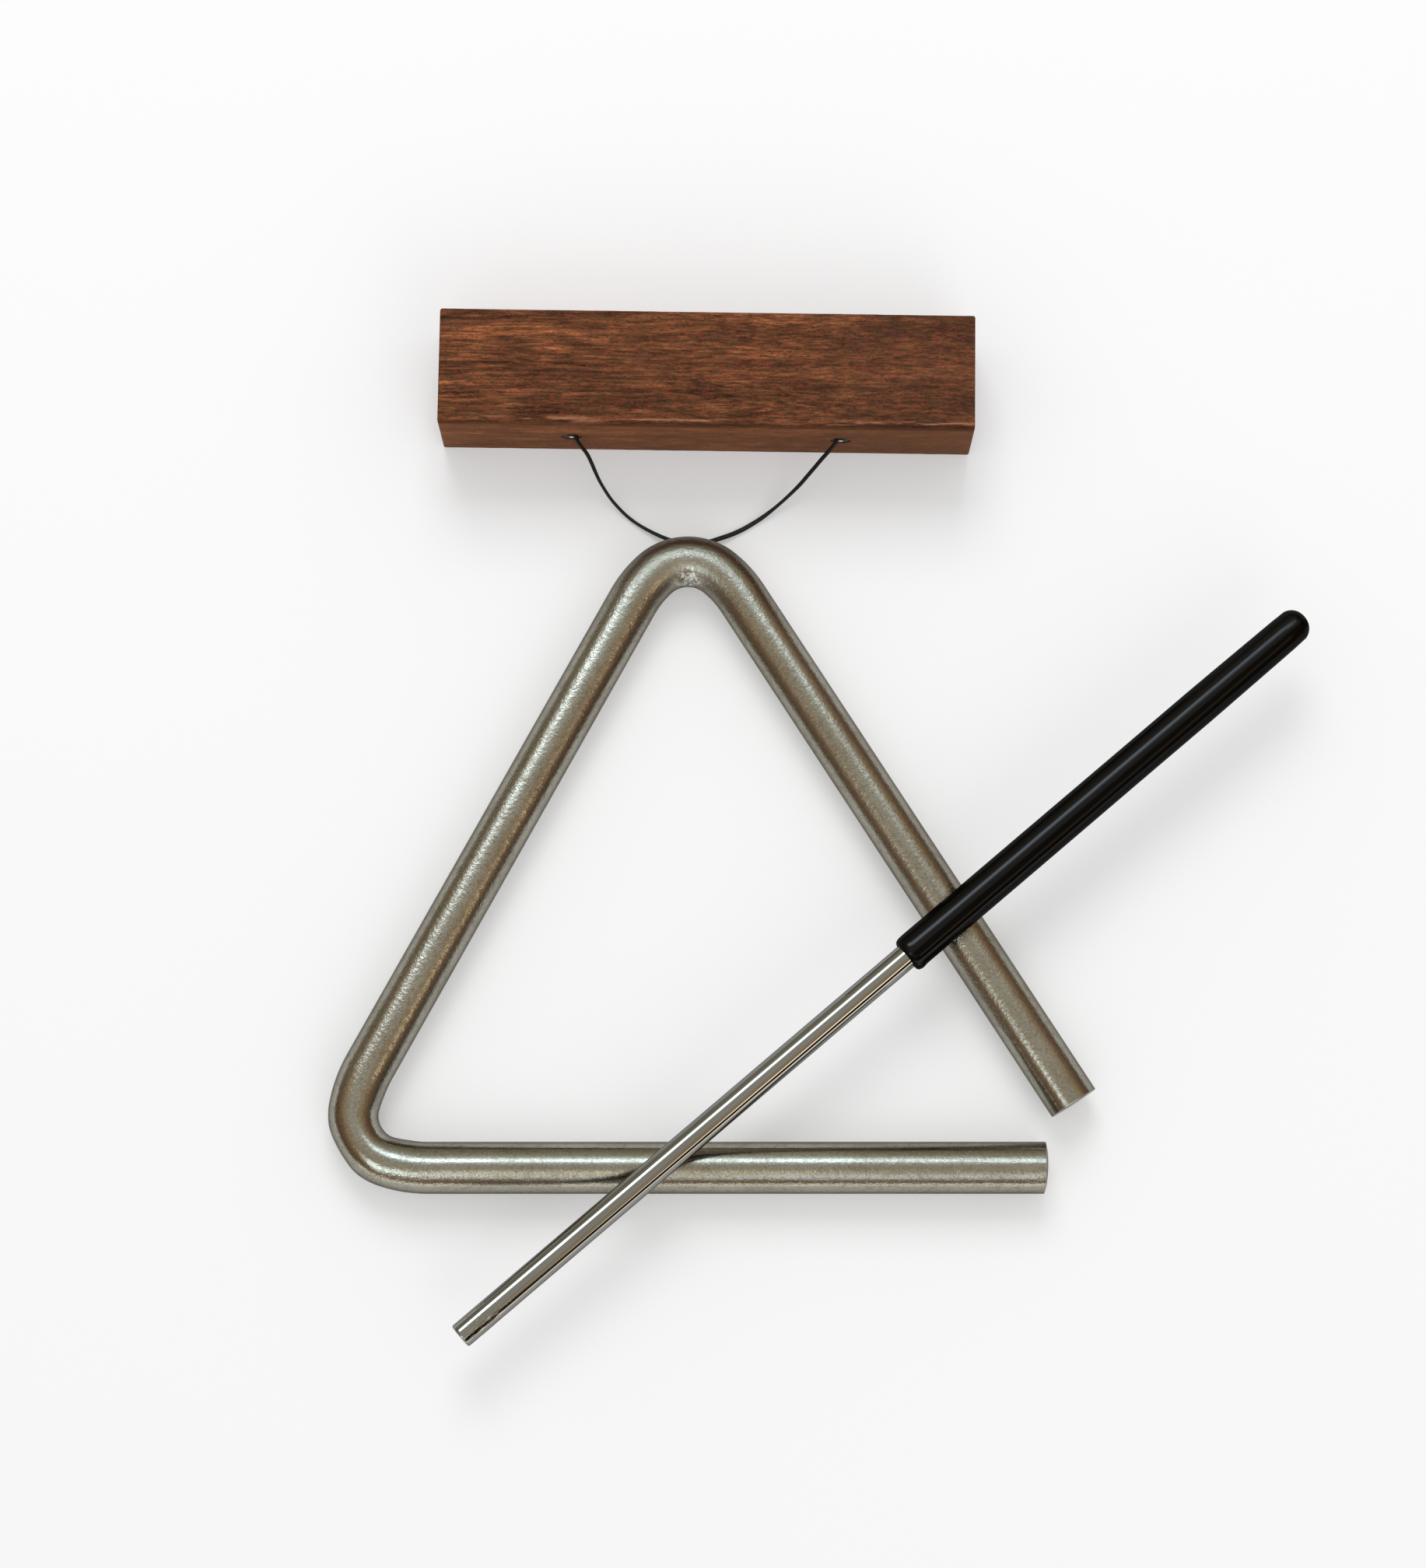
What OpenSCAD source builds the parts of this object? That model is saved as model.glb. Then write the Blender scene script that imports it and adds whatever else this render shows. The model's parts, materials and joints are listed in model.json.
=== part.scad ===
// A small hand percussion triangle with its wooden holder and its beater.
// The open triangle lies flat on a table. The holder lies above it, and its cord loop
// reaches down to the crown. The beater lies across two legs of the triangle.
// +Z is up from the table, +Y points from the bottom leg to the holder.
// The origin is on the table, under the middle of everything but the cord.

/* [Triangle] */
// Diameter of the round bar, 3/8 inch
bar_diameter = 9.525; // [6:0.005:14]
// Radius of both bends, at the middle of the bar
bend_radius = 10.8; // [8:0.1:20]
// Inside angle at the crown, in degrees
crown_angle = 61.4; // [50:0.1:70]
// Inside angle at the closed lower corner, in degrees
corner_angle = 61.2; // [50:0.1:70]
// Left leg, between the corners that its middle line and its neighbours' would meet in
left_leg = 141.4; // [120:0.1:180]
// Bottom leg, from that lower corner to its open end
bottom_leg = 134.3; // [115:0.1:140]
// Right leg, from the crown's corner to its open end
right_leg = 133; // [120:0.1:136]
// Broken edge round each cut end
bar_chamfer = 0.35; // [0.1:0.05:1]
// How much the bar's radius draws in where it is bent
bend_draw = 0.02; // [0.01:0.005:0.1]

/* [Holder] */
// Length of the wooden block
block_length = 100; // [70:0.5:140]
// Height of the block's face, across the grain
block_height = 22; // [18:0.5:35]
// Thickness of the block, as it lies
block_depth = 19; // [12:0.5:28]
// Radius that eases the block's edges
block_edge = 0.5; // [0.2:0.1:2]
// Distance between the middles of the two cord holes
hole_spacing = 50.7; // [30:0.1:60]
// Diameter of each cord hole
hole_diameter = 3.8; // [3.2:0.1:5]
// Depth of each cord hole
hole_depth = 14; // [8:0.5:16]

/* [Cord and glue] */
// Diameter of the cord
cord_diameter = 0.8; // [0.5:0.05:0.85]
// How far the cord leaves its hole from the hole's middle, towards the other hole
cord_offset = 1; // [0.6:0.05:1.1]
// Length of cord glued into each hole
cord_hold = 10; // [4:0.5:12]
// How far the glue stays below the block's face
glue_recess = 0.5; // [0.3:0.05:1]
// Height of the glue's rounded front
glue_crown = 0.25; // [0.1:0.05:0.4]
// Room between the glue and the wood, and between the glue and the cord
glue_clearance = 0.03; // [0.02:0.01:0.05]

/* [Beater] */
// Length of the whole beater, about 8 inches
beater_length = 203.9; // [180:0.1:230]
// Diameter of the steel rod, 3/16 inch
rod_diameter = 4.7625; // [3:0.0005:5.5]
// Broken edge at the rod's tip
rod_chamfer = 0.3; // [0.1:0.05:0.8]
// Length of the dipped grip
grip_length = 97.6; // [60:0.1:120]
// Diameter of the grip
grip_diameter = 6.95; // [6.5:0.05:12]
// Diameter that the grip draws down to before its round end
grip_end_diameter = 6.6; // [6:0.05:6.9]
// Length over which it draws down
grip_taper = 22; // [10:1:30]
// Radius of the grip's lip
grip_lip = 0.7; // [0.3:0.05:0.8]
// Grip beyond the end of the rod inside it
grip_end_wall = 5; // [4:0.5:10]
// Room round the rod inside the grip
grip_clearance = 0.03; // [0.02:0.01:0.05]

/* [Places on the table] */
// Where the crown's middle-line corner lies, to the right
crown_x = -25.2; // [-60:0.1:60]
// Where the crown's middle-line corner lies, upwards
crown_y = 60.6; // [-60:0.1:120]
// Distance from the crown up to the block
holder_gap = 18.2; // [16:0.1:22]
// How far the block's middle lies to the right of the crown
holder_shift = 3.5; // [-5:0.1:8]
// Turn of the block on the table, in degrees
holder_turn = -0.84; // [-3:0.02:3]
// Direction that the beater points in, in degrees from the bottom leg
beater_angle = 40.4; // [35:0.1:45]
// Where the beater crosses the bottom leg, from the lower corner
beater_cross = 64.2; // [60:0.1:75]
// How far the beater's tip reaches past that crossing
beater_reach = 47.8; // [30:0.1:60]
// Room between the beater and the legs that it lies on
beater_clearance = 0.3; // [0.1:0.05:0.5]

/* [Hidden] */
fine = 96;
// Overrun of the cutting tools past a face
overrun = 1;
// How far the straight legs reach into the bends
bend_lap = 0.3;

bar_r = bar_diameter / 2;
cord_r = cord_diameter / 2;
rod_r = rod_diameter / 2;
grip_r = grip_diameter / 2;
grip_end_r = grip_end_diameter / 2;
hole_r = hole_diameter / 2;

// Directions along the three legs, and the corners that their middle lines would meet in
function heading(angle) = [cos(angle), sin(angle)];
right_heading = 180 + corner_angle + crown_angle;
crown = [crown_x, crown_y];
corner = crown - left_leg * heading(corner_angle);
bottom_end = corner + bottom_leg * heading(0);
right_end = crown + right_leg * heading(right_heading);

// Distance from a corner back to where its bend starts
function setback(angle) = bend_radius / tan(angle / 2);
crown_bend = crown + setback(crown_angle) * heading(right_heading)
    + bend_radius * heading(right_heading - 90);
corner_bend = corner + setback(corner_angle) * heading(0) + bend_radius * heading(90);
crown_top = crown_bend[1] + bend_radius + bar_r;

// The block's middle, on the table
block_place = [crown_bend[0] + holder_shift, crown_top + holder_gap + block_height / 2];
hole_height = block_depth / 2;

// The beater lies on the bottom leg and on the right leg, and tilts a little between them
beater_heading = heading(beater_angle);
cross_place = corner + beater_cross * heading(0);
// Distance along the beater from its first crossing to its second
cross_span = (crown - cross_place) * heading(right_heading + 90)
    / (beater_heading * heading(right_heading + 90));
cross_rise = grip_r - rod_r;
beater_tilt = asin(cross_rise / cross_span);
cross_height = bar_diameter + beater_clearance + rod_r / cos(beater_tilt);

// The loop's route, from the left hole to the right one
CORD_ROUTE = [
    [-45.5, 73.1, 9.5], [-44.8, 72.0, 9.2], [-43.7, 70.8, 8.4], [-42.9, 69.5, 7.2],
    [-42.2, 68.1, 5.8], [-41.4, 66.6, 4.3], [-40.4, 65.1, 2.9], [-39.2, 63.5, 1.8],
    [-37.7, 61.9, 1.0], [-36.1, 60.4, 0.6], [-34.4, 59.1, 0.5], [-32.5, 57.9, 0.6],
    [-30.5, 56.8, 0.9], [-28.6, 55.9, 1.2], [-26.6, 55.2, 1.5], [-24.6, 54.8, 1.6],
    [-22.6, 54.9, 1.5], [-20.6, 55.3, 1.3], [-18.6, 56.0, 1.0], [-16.5, 56.8, 0.7],
    [-14.4, 57.8, 0.5], [-12.5, 58.9, 0.5], [-10.6, 60.1, 0.7], [-8.8, 61.4, 1.1],
    [-7.0, 62.8, 1.7], [-5.2, 64.3, 2.5], [-3.5, 65.8, 3.5], [-2.0, 67.3, 4.7],
    [-0.6, 68.7, 5.9], [0.7, 70.0, 7.1], [1.8, 71.0, 8.2], [2.6, 71.8, 9.0],
    [3.2, 72.4, 9.5]
];
cord_sides = 8;

// One leg of round bar on the table, from a bend to another place, turned from half of its
// outline. An end at a bend draws in and laps into it, and an open end has a broken edge.
module bar_leg(start, end, open_end) {
    run = end - start;
    far = norm(run);
    lap_r = bar_r - 2 * bend_draw;
    far_outline = open_end
        ? [[bar_r, far - bar_chamfer], [bar_r - bar_chamfer, far], [0, far]]
        : [[bar_r, far], [lap_r, far + bend_lap], [0, far + bend_lap]];
    translate([start[0], start[1], bar_r])
        rotate([0, 90, atan2(run[1], run[0])])
            rotate_extrude($fn = fine)
                polygon(concat([[0, -bend_lap], [lap_r, -bend_lap], [bar_r, 0]], far_outline));
}

// One bend of the bar on the table, that turns from one direction by an angle
module bar_bend(middle, from, turn) {
    translate([middle[0], middle[1], bar_r])
        rotate(from)
            rotate_extrude(angle = turn, $fn = fine)
                translate([bend_radius, 0])
                    circle(r = bar_r - bend_draw, $fn = fine);
}

module triangle_bar() {
    crown_right = crown + setback(crown_angle) * heading(right_heading);
    crown_left = crown - setback(crown_angle) * heading(corner_angle);
    corner_left = corner + setback(corner_angle) * heading(corner_angle);
    corner_bottom = corner + setback(corner_angle) * heading(0);
    color("#9a9080") {
        bar_leg(crown_right, right_end, true);
        bar_bend(crown_bend, right_heading + 90, 180 - crown_angle);
        bar_leg(crown_left, corner_left, false);
        bar_bend(corner_bend, corner_angle + 90, 180 - corner_angle);
        bar_leg(corner_bottom, bottom_end, true);
    }
}

// Places what is drawn about the block's middle, with the table at zero
module at_holder() {
    translate([block_place[0], block_place[1], 0])
        rotate(holder_turn)
            children();
}

// Stands at a hole's mouth and looks into the hole, with the other hole on its inner side
module at_hole(side) {
    at_holder()
        translate([side * hole_spacing / 2, -block_height / 2, hole_height])
            rotate([-90, 0, 0])
                children();
}

// A square with round corners, about its middle
module eased_square(width, height) {
    square([width - 2 * block_edge, height], center = true);
    square([width, height - 2 * block_edge], center = true);
    for (x = [-1, 1], y = [-1, 1])
        translate([x * (width / 2 - block_edge), y * (height / 2 - block_edge)])
            circle(r = block_edge, $fn = fine / 2);
}

// A bar of timber with all of its edges eased
module eased_block(length, height, depth) {
    intersection() {
        linear_extrude(depth, center = true)
            eased_square(length, height);
        rotate([90, 0, 0])
            linear_extrude(height, center = true)
                eased_square(length, depth);
        rotate([90, 0, 90])
            linear_extrude(length, center = true)
                eased_square(height, depth);
    }
}

module holder_block() {
    color("#6b3a25")
        difference() {
            at_holder()
                translate([0, 0, block_depth / 2])
                    eased_block(block_length, block_height, block_depth);
            for (side = [-1, 1])
                at_hole(side)
                    translate([0, 0, -overrun])
                        cylinder(h = hole_depth + overrun, r = hole_r, $fn = fine);
        }
}

// Clear glue that fills a hole round the cord, with a rounded front
module glue_plug(side) {
    plug_r = hole_r - glue_clearance;
    plug_end = hole_depth - glue_clearance;
    front_r = (pow(plug_r, 2) + pow(glue_crown, 2)) / (2 * glue_crown);
    color("#4a4034")
        at_hole(side)
            difference() {
                intersection() {
                    translate([0, 0, glue_recess])
                        cylinder(h = plug_end - glue_recess, r = plug_r, $fn = fine);
                    union() {
                        translate([0, 0, glue_recess + front_r])
                            sphere(r = front_r, $fn = fine);
                        translate([0, 0, glue_recess + front_r])
                            cylinder(h = hole_depth, r = hole_r, $fn = fine);
                    }
                }
                translate([-side * cord_offset, 0, 0])
                    cylinder(h = cord_hold + glue_clearance, r = cord_r + glue_clearance, $fn = fine / 2);
            }
}

module glue_plug_left() { glue_plug(-1); }

module glue_plug_right() { glue_plug(1); }

// The stretch of cord that is glued into a hole, out to the block's face
module cord_end(side) {
    color("#121212")
        at_hole(side)
            translate([-side * cord_offset, 0, 0])
                cylinder(h = cord_hold, r = cord_r, $fn = fine / 2);
}

module cord_end_left() { cord_end(-1); }

module cord_end_right() { cord_end(1); }

function unit(v) = v / norm(v);

// Direction of a route at one of its points
function way(route, i) = unit(route[min(i + 1, len(route) - 1)] - route[max(i - 1, 0)]);

// One ring of a tube's points, round a point of its route
function ring(place, ahead, radius, sides) =
    let (across = unit(cross(ahead, [0, 0, 1])), above = cross(across, ahead))
    [for (k = [0 : sides - 1]) place + radius * (cos(360 * k / sides) * across + sin(360 * k / sides) * above)];

module cord_tube(route, radius, sides) {
    rings = len(route);
    points = [for (i = [0 : rings - 1]) each ring(route[i], way(route, i), radius, sides)];
    walls = [
        for (i = [0 : rings - 2], k = [0 : sides - 1])
            let (a = i * sides + k, b = i * sides + (k + 1) % sides)
            each [[a, a + sides, b], [b, a + sides, b + sides]]
    ];
    first_cap = [for (k = [1 : sides - 2]) [0, k, k + 1]];
    last = (rings - 1) * sides;
    last_cap = [for (k = [1 : sides - 2]) [last, last + k + 1, last + k]];
    polyhedron(points = points, faces = concat(walls, first_cap, last_cap));
}

module cord_loop() {
    color("#121212")
        cord_tube(CORD_ROUTE, cord_r, cord_sides);
}

// Places what is drawn up from the beater's tip, along its axis
module at_beater() {
    translate([cross_place[0], cross_place[1], cross_height])
        rotate([0, 90 - beater_tilt, beater_angle])
            translate([0, 0, -beater_reach])
                children();
}

module beater_rod() {
    color("#c9c9c6")
        at_beater() {
            cylinder(h = rod_chamfer, r1 = rod_r - rod_chamfer, r2 = rod_r, $fn = fine);
            translate([0, 0, rod_chamfer])
                cylinder(h = beater_length - grip_end_wall - rod_chamfer, r = rod_r, $fn = fine);
        }
}

// Half of the grip's outline, beside its axis, from its lip up to its round end
module grip_outline() {
    taper_start = grip_length - grip_end_r - grip_taper;
    translate([0, grip_lip])
        square([grip_r, taper_start - grip_lip]);
    square([grip_r - grip_lip, grip_lip]);
    translate([grip_r - grip_lip, grip_lip])
        circle(r = grip_lip, $fn = fine / 2);
    polygon([
        [0, taper_start], [grip_r, taper_start],
        [grip_end_r, taper_start + grip_taper], [0, taper_start + grip_taper]
    ]);
    intersection() {
        translate([0, taper_start + grip_taper])
            circle(r = grip_end_r, $fn = fine);
        square([grip_r, grip_length]);
    }
}

module beater_grip() {
    bore_depth = grip_length - grip_end_wall + grip_clearance;
    color("#101013")
        at_beater()
            translate([0, 0, beater_length - grip_length])
                difference() {
                    rotate_extrude($fn = fine)
                        grip_outline();
                    translate([0, 0, -overrun])
                        cylinder(h = bore_depth + overrun, r = rod_r + grip_clearance, $fn = fine);
                }
}

triangle_bar();
holder_block();
glue_plug_left();
glue_plug_right();
cord_end_left();
cord_end_right();
cord_loop();
beater_rod();
beater_grip();
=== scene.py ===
import json
from math import asin, cos, pi, prod, radians, sin, tan

import bmesh
import bpy
from mathutils import Matrix, Vector

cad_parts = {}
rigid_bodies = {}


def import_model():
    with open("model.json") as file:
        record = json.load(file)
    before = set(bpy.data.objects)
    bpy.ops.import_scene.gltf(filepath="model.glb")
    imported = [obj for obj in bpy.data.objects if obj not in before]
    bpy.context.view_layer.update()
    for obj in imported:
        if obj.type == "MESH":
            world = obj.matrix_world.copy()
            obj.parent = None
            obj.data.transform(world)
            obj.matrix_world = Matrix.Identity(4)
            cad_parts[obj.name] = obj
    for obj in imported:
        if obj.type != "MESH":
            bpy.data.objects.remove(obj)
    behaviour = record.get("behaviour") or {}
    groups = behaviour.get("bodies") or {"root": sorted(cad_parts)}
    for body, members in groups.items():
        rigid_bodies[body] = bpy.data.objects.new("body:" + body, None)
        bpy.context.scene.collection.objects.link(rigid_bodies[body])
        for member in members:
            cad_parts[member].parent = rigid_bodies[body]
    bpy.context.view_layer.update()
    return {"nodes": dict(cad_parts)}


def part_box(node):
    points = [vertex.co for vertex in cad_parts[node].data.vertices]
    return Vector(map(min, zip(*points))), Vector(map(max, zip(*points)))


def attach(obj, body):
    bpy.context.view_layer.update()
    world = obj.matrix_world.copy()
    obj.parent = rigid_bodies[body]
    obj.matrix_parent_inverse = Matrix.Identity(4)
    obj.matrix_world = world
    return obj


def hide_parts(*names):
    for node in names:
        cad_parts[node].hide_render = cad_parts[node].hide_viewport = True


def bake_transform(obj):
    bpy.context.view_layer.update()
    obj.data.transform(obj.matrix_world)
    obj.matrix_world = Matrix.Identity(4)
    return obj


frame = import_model()
mm = 0.001
print("frame loaded,", len(frame["nodes"]), "nodes")

# the camera stands where the photo was taken from
view = {
    "target": (-19.86, 8.14, 4.7625),
    "distance": 750,
    "tilt": 10,  # degrees from straight above
    "lens": 92.375,
    "sensor": 36,
    "clip": (0.01, 20),  # metres
}


def setCamera(facts):
    tilt = radians(facts["tilt"])
    back = Vector((0, -sin(tilt), cos(tilt)))
    data = bpy.data.cameras.new("camera")
    data.lens = facts["lens"]
    data.sensor_width = facts["sensor"]
    data.clip_start, data.clip_end = facts["clip"]
    camera = bpy.data.objects.new("camera", data)
    camera.location = (Vector(facts["target"]) + back * facts["distance"]) * mm
    camera.rotation_euler = (tilt, 0, 0)
    bpy.context.collection.objects.link(camera)
    bpy.context.scene.camera = camera


setCamera(view)
print("camera set")

# steps of modelling that the pieces share
mergeWithin = 0.002  # mm between two points that are one


def mode(name):
    bpy.ops.object.mode_set(mode=name)


def deselect():
    bpy.ops.object.select_all(action="DESELECT")


def openPiece(name):
    # names the new primitive, puts its place into its mesh and opens edit mode
    piece = bpy.context.object
    piece.name = piece.data.name = name
    bpy.ops.object.transform_apply(location=True, rotation=True, scale=True)
    mode("EDIT")
    bpy.ops.mesh.select_mode(type="FACE")
    return piece


def pick(piece, kind, test):
    bpy.ops.mesh.select_mode(type=kind)
    bpy.ops.mesh.select_all(action="DESELECT")
    mesh = bmesh.from_edit_mesh(piece.data)
    for part in {"VERT": mesh.verts, "EDGE": mesh.edges, "FACE": mesh.faces}[kind]:
        if test(part):
            part.select_set(True)
    mesh.select_flush_mode()
    bmesh.update_edit_mesh(piece.data)


def mergePoints():
    bpy.ops.mesh.select_mode(type="VERT")
    bpy.ops.mesh.select_all(action="SELECT")
    bpy.ops.mesh.remove_doubles(threshold=mergeWithin * mm)


def turnOut():
    bpy.ops.mesh.select_all(action="SELECT")
    bpy.ops.mesh.normals_make_consistent(inside=False)


def closePiece(piece, smoothAngle=35):
    mergePoints()
    turnOut()
    mode("OBJECT")
    bpy.ops.object.shade_smooth_by_angle(angle=radians(smoothAngle))
    piece.select_set(False)


def addDisc(place, facing, radius, sides):
    deselect()
    turn = Vector(facing).to_track_quat("Z", "Y").to_euler()
    bpy.ops.mesh.primitive_circle_add(vertices=sides, radius=radius, fill_type="NGON",
                                      location=place, rotation=turn)


def isDisc(face):
    return len(face.verts) > 8


def pull(move):
    bpy.ops.mesh.extrude_region_move(TRANSFORM_OT_translate={"value": tuple(move)})


def growRings(place, along, radius, rings, shifts):
    # carries the picked disc along an axis through rings of (distance, radius), each set off a little
    at, now = 0.0, radius
    for (distance, ring), shift in zip(rings, shifts):
        pull(along * (distance - at) + shift)
        place = place + shift
        grow = ring / now
        bpy.ops.transform.resize(value=(grow, grow, grow), center_override=tuple(place + along * distance))
        at, now = distance, ring


# the cord, from the left hole round below the crown to the right hole
holderTurn = -0.84  # degrees that the block lies turned on the table
cordFacts = {
    "width": 0.94,  # the waxed cord is a little flat, and turns as it runs
    "thickness": 0.64,
    "nominal": 0.8,
    "held": 10,  # glued into each hole
    "heldRings": 8,
    "sides": 16,
    "perSpan": 4,  # rings laid between two points of the route
    "bendBelow": 1.2,  # the cord starts to bend this far below its mouths when the block tips
    "bendAbove": 0.4,  # and goes wholly with the block from this far above them
    # how far the flat side is turned from lying level, by the share of the free length
    "turns": ((0, 50), (0.08, 50), (0.2, 88), (0.3, 70), (0.4, 45), (0.5, 20), (0.6, 5), (0.68, 25),
              (0.76, 62), (0.86, 40), (1, 35)),
    "route": (
        (-45.5, 73.1, 9.5), (-44.8, 72, 9.2), (-43.7, 70.8, 8.4), (-42.9, 69.5, 7.2),
        (-42.2, 68.1, 5.8), (-41.4, 66.6, 4.3), (-40.4, 65.1, 2.9), (-39.2, 63.5, 1.8),
        (-37.7, 61.9, 1), (-36.1, 60.4, 0.6), (-34.4, 59.1, 0.5), (-32.5, 57.9, 0.6),
        (-30.5, 56.8, 0.9), (-28.6, 55.9, 1.2), (-26.6, 55.2, 1.5), (-24.6, 54.8, 1.6),
        (-22.6, 54.9, 1.5), (-20.6, 55.3, 1.3), (-18.6, 56, 1), (-16.5, 56.8, 0.7),
        (-14.4, 57.8, 0.5), (-12.5, 58.9, 0.5), (-10.6, 60.1, 0.7), (-8.8, 61.4, 1.1),
        (-7, 62.8, 1.7), (-5.2, 64.3, 2.5), (-3.5, 65.8, 3.5), (-2, 67.3, 4.7),
        (-0.6, 68.7, 5.9), (0.7, 70, 7.1), (1.8, 71, 8.2), (2.6, 71.8, 9),
        (3.2, 72.4, 9.5),
    ),
}


def between(table, share):
    # eases from one entry of a table to the next
    for (x0, y0), (x1, y1) in zip(table, table[1:]):
        if share <= x1:
            step = (share - x0) / (x1 - x0)
            return y0 + (y1 - y0) * step * step * (3 - 2 * step)
    return table[-1][1]


def smoothRoute(points, perSpan):
    # a smooth line through every point
    ends = [points[0] * 2 - points[1]] + points + [points[-1] * 2 - points[-2]]
    line = []
    for a, b, c, d in zip(ends, ends[1:], ends[2:], ends[3:]):
        for k in range(perSpan):
            t = k / perSpan
            line.append(0.5 * ((2 * b) + (c - a) * t + (2 * a - 5 * b + 4 * c - d) * t * t
                               + (3 * b - a - 3 * c + d) * t * t * t))
    return line + [points[-1]]


def cordRoute(facts):
    # the free line between the two mouths, with the glued stretch at each end
    into = Matrix.Rotation(radians(holderTurn), 3, "Z") @ Vector((0, 1, 0))
    free = smoothRoute([Vector(p) * mm for p in facts["route"]], facts["perSpan"])
    rings = facts["heldRings"]
    depths = [facts["held"] * mm * k / rings for k in range(rings, 0, -1)]
    return [free[0] + into * d for d in depths] + free + [free[-1] + into * d for d in reversed(depths)]


def makeCord(facts):
    line = cordRoute(facts)
    held = facts["held"] * mm
    walked = [0]
    for a, b in zip(line, line[1:]):
        walked.append(walked[-1] + (b - a).length)
    freeLength = walked[-1] - 2 * held
    verts, faces, marks = [], [], []
    sides = facts["sides"]
    for i, place in enumerate(line):
        ahead = (line[min(i + 1, len(line) - 1)] - line[max(i - 1, 0)]).normalized()
        level = ahead.cross(Vector((0, 0, 1))).normalized()
        above = level.cross(ahead).normalized()
        share = min(max((walked[i] - held) / freeLength, 0), 1)
        turn = radians(between(facts["turns"], share))
        if walked[i] < held or walked[i] > walked[-1] - held:
            wide = thick = facts["nominal"]
        else:
            wide, thick = facts["width"], facts["thickness"]
        for k in range(sides):
            angle = 2 * pi * k / sides
            a, b = wide / 2 * mm * cos(angle), thick / 2 * mm * sin(angle)
            across = a * cos(turn) - b * sin(turn)
            up = a * sin(turn) + b * cos(turn)
            verts.append(place + level * across + above * up)
    for i in range(len(line) - 1):
        for k in range(sides):
            corners = ((k, i), (k + 1, i), (k + 1, i + 1), (k, i + 1))
            marks.append(corners)
            faces.append(tuple(row * sides + side % sides for side, row in corners))
    faces.append(tuple(reversed(range(sides))))
    faces.append(tuple((len(line) - 1) * sides + k for k in range(sides)))
    mesh = bpy.data.meshes.new("cordLoop")
    mesh.from_pydata(verts, [], faces)
    # the chart runs once round the cord, and along it in turns of the same length
    chart = mesh.uv_layers.new(name="alongCord")
    around = pi * facts["nominal"] * mm
    for polygon, corners in zip(mesh.polygons, marks):
        for loop, (k, i) in zip(polygon.loop_indices, corners):
            chart.data[loop].uv = (k / sides, walked[i] / around)
    for polygon in mesh.polygons:
        polygon.use_smooth = len(polygon.vertices) == 4
    piece = bpy.data.objects.new("cordLoop", mesh)
    bpy.context.collection.objects.link(piece)
    bpy.context.view_layer.objects.active = piece
    mode("EDIT")
    turnOut()
    mode("OBJECT")
    piece.select_set(False)
    return piece, line, walked[-1]


deselect()
cord, cordLine, cordLength = makeCord(cordFacts)
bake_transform(cord)
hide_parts("cord_loop", "cord_end_left", "cord_end_right")
print("cord laid,", round(cordLength / mm, 1), "mm")

# the bar of the triangle, bent from one round rod
bar = {
    "diameter": 9.525,
    "sides": 72,
    "crown": (-25.2, 60.6),  # where the middle lines of its two legs would meet
    "crownAngle": 61.4,
    "cornerAngle": 61.2,
    "leftLeg": 141.4,
    "bottomLeg": 134.3,
    "rightLeg": 133,
    # a bend starts wide, draws tight in its middle and opens again: radius, turn, rings
    "crownWide": (21, 18, 6),
    "crownTight": 9.25,
    "cornerWide": (24, 18, 6),
    "cornerTight": 9.1,
    "tightRings": 22,
    "brokenEdge": 0.22,
    "endReach": 9,  # an end's points lie this near to it
    "endBulge": (0.3, 0.04),  # the bottom leg was sheared and is a little full at its end
    "bulgeInsets": ((1.1, 1), (1.4, 0.5)),  # width, share of the bulge
    "endLean": 2.2,  # and was not cut quite square
    "leanDepth": 0.4,
    "squeeze": 0.93,  # the tightest place of the corner is pressed a little flat
    "squeezePlace": 10.4,  # from where the middle lines meet
    "squeezeHalf": (7, 1.6),  # half of what is pressed, through the bend and along it
    "squeezeFade": 5,
    "wrinkle": (-24.4, 47.1, 7.2),  # inside the crown, where the steel is upset
    "wrinkleReach": 1.9,
    "wrinkleHeight": 0.22,
}


def heading(angle):
    return Vector((cos(radians(angle)), sin(radians(angle)), 0))


def lowerCorner(facts):
    return Vector((*facts["crown"], 0)) - heading(facts["cornerAngle"]) * facts["leftLeg"]


def bendSetback(wide, turn, tight, angle):
    # from the meeting of two middle lines back to where the bend between them starts
    half = radians(angle) / 2
    a = radians(turn)
    return (wide - tight) * sin(a) + (wide - (wide - tight) * cos(a)) / tan(half)


def spinArc(place, direction, radius, turn, steps):
    # turns right on the way round, so the middle lies on the right hand
    middle = place + Vector((direction.y, -direction.x, 0)) * radius
    bpy.ops.mesh.spin(steps=steps, angle=radians(turn), center=tuple(middle), axis=(0, 0, 1))
    turned = Matrix.Rotation(radians(-turn), 3, "Z")
    return middle + turned @ (place - middle), turned @ direction


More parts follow.
